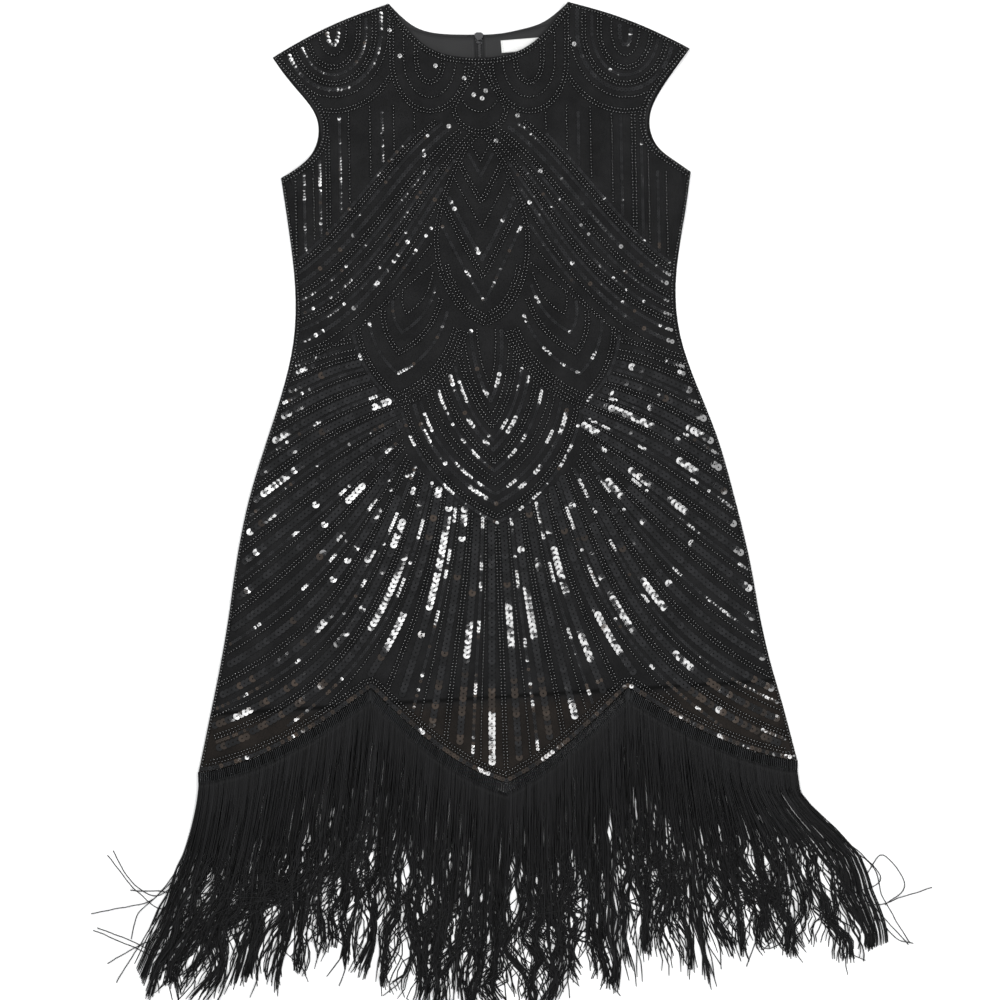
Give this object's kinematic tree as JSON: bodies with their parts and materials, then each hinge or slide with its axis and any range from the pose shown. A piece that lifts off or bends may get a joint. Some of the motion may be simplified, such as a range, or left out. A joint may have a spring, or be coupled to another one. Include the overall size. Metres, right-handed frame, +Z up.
{
  "type": "flapper dress",
  "caption": "Fringed cap-sleeved evening dress with a round neck and scalloped hem, laid flat on its back, zipped at the centre back.",
  "frame": {"origin": "on the surface that the dress lies on, under the middle of its whole outline, fringe included", "axes": "+Y from the hem to the neck, +X across the dress to the right as seen from above, +Z up out of the dress's front"},
  "size_m": [0.9091, 1.0883, 0.0092],
  "materials": {
    "net": "matte black net cloth",
    "lining": "plain woven black lining with a faint sheen",
    "tape": "black woven zip tape and coil",
    "label": "blank white satin label",
    "fringe": "black rayon cord fringe",
    "zip_metal": "black painted zip slider",
    "bead": "glossy black seed beads",
    "sequin": "glossy black sequins"
  },
  "bodies": {
    "dress": {"shell_front": "net", "shell_back_left": "net", "shell_back_right": "net", "lining_front": "lining", "lining_back_left": "lining", "lining_back_right": "lining", "zip_tape": "tape", "label": "label", "fringe_front": "fringe", "fringe_back": "fringe", "zip_slider": "zip_metal"},
    "pull_tab": {"zip_pull": "zip_metal"}
  },
  "joints": [
    {"name": "pull_tab_swing", "type": "hinge", "parent": "dress", "child": "pull_tab", "pos_m": [-0.032, 0.507, 0.0018], "axis": [1, 0, 0], "range_deg": [0, 160]}
  ]
}
